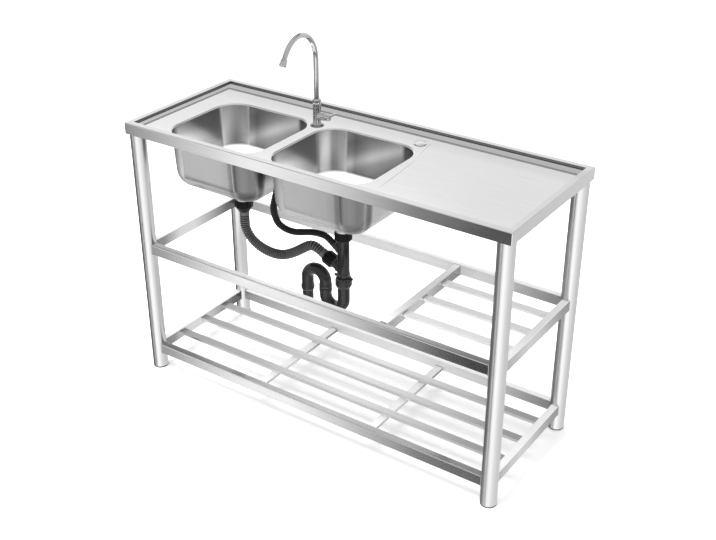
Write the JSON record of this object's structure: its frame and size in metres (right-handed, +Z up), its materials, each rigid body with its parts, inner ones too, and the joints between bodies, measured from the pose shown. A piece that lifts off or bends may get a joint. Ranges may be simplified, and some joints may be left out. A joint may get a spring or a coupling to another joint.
{
  "type": "kitchen sink unit",
  "caption": "Stainless steel kitchen sink unit with side by side bowls, a drainboard, round legs, slatted shelves, a swan-neck tap and black plastic waste pipes.",
  "frame": {"origin": "on the floor under the middle of the top", "axes": "+X to the drainboard end, +Y to the back, +Z up"},
  "size_m": [1.2, 0.45, 1.0751],
  "materials": {
    "brushed_sheet": "brushed",
    "bowl_steel": "satin",
    "leg_tube": "polished",
    "frame_bar": "brushed",
    "foot_plastic": "matte",
    "drain_steel": "polished",
    "waste_plastic": "satin",
    "hose_plastic": "satin",
    "tap_steel": "brushed"
  },
  "bodies": {
    "stand": {"pressed_top": "brushed_sheet", "left_bowl": "bowl_steel", "right_bowl": "bowl_steel", "foot_front_left": "foot_plastic", "leg_front_left": "leg_tube", "leg_socket_front_left": "foot_plastic", "foot_front_right": "foot_plastic", "leg_front_right": "leg_tube", "leg_socket_front_right": "foot_plastic", "foot_rear_left": "foot_plastic", "leg_rear_left": "leg_tube", "leg_socket_rear_left": "foot_plastic", "foot_rear_right": "foot_plastic", "leg_rear_right": "leg_tube", "leg_socket_rear_right": "foot_plastic", "upper_rail_front": "frame_bar", "upper_rail_rear": "frame_bar", "upper_rail_left": "frame_bar", "upper_rail_right": "frame_bar", "upper_divider_rail": "frame_bar", "upper_slat_front": "frame_bar", "upper_slat_middle": "frame_bar", "upper_slat_rear": "frame_bar", "lower_rail_front": "frame_bar", "lower_rail_rear": "frame_bar", "lower_rail_left": "frame_bar", "lower_rail_right": "frame_bar", "lower_slat_front": "frame_bar", "lower_slat_middle": "frame_bar", "lower_slat_rear": "frame_bar", "lower_cross_bar_left": "frame_bar", "lower_cross_bar_right": "frame_bar", "left_strainer_body": "drain_steel", "left_clamp_nut": "waste_plastic", "right_strainer_body": "drain_steel", "right_clamp_nut": "waste_plastic", "right_tail_nut": "waste_plastic", "left_tail_nut": "waste_plastic", "waste_tee": "waste_plastic", "hose_nut": "waste_plastic", "trap_clamp_ring": "waste_plastic", "trap_union_nut": "waste_plastic", "trap_lower_bend": "waste_plastic", "trap_upper_bend": "waste_plastic", "trap_outlet": "waste_plastic", "overflow_grate": "drain_steel", "overflow_elbow": "waste_plastic", "drain_hose": "hose_plastic", "overflow_hose": "hose_plastic", "tap_flange": "tap_steel", "tap_body": "tap_steel", "spout_collar": "tap_steel", "tap_shank_nut": "tap_steel", "hole_cover": "drain_steel"},
    "swivel_spout": {"spout": "tap_steel", "aerator": "tap_steel"},
    "lever": {"tap_lever": "tap_steel", "valve_spindle": "tap_steel"},
    "left_basket": {"left_strainer_basket": "drain_steel"},
    "right_basket": {"right_strainer_basket": "drain_steel"}
  },
  "joints": [
    {"name": "spout_swivel", "type": "hinge", "parent": "stand", "child": "swivel_spout", "pos_m": [-0.158, 0.073, 0.9], "axis": [0, 0, 1], "continuous": true},
    {"name": "tap_handle", "type": "hinge", "parent": "stand", "child": "lever", "pos_m": [-0.158, 0.073, 0.823], "axis": [1, 0, 0], "range_deg": [0, 90]},
    {"name": "left_basket_lift", "type": "slide", "parent": "stand", "child": "left_basket", "axis": [0, 0, 1], "range_m": [0, 0.2]},
    {"name": "right_basket_lift", "type": "slide", "parent": "stand", "child": "right_basket", "axis": [0, 0, 1], "range_m": [0, 0.2]}
  ]
}
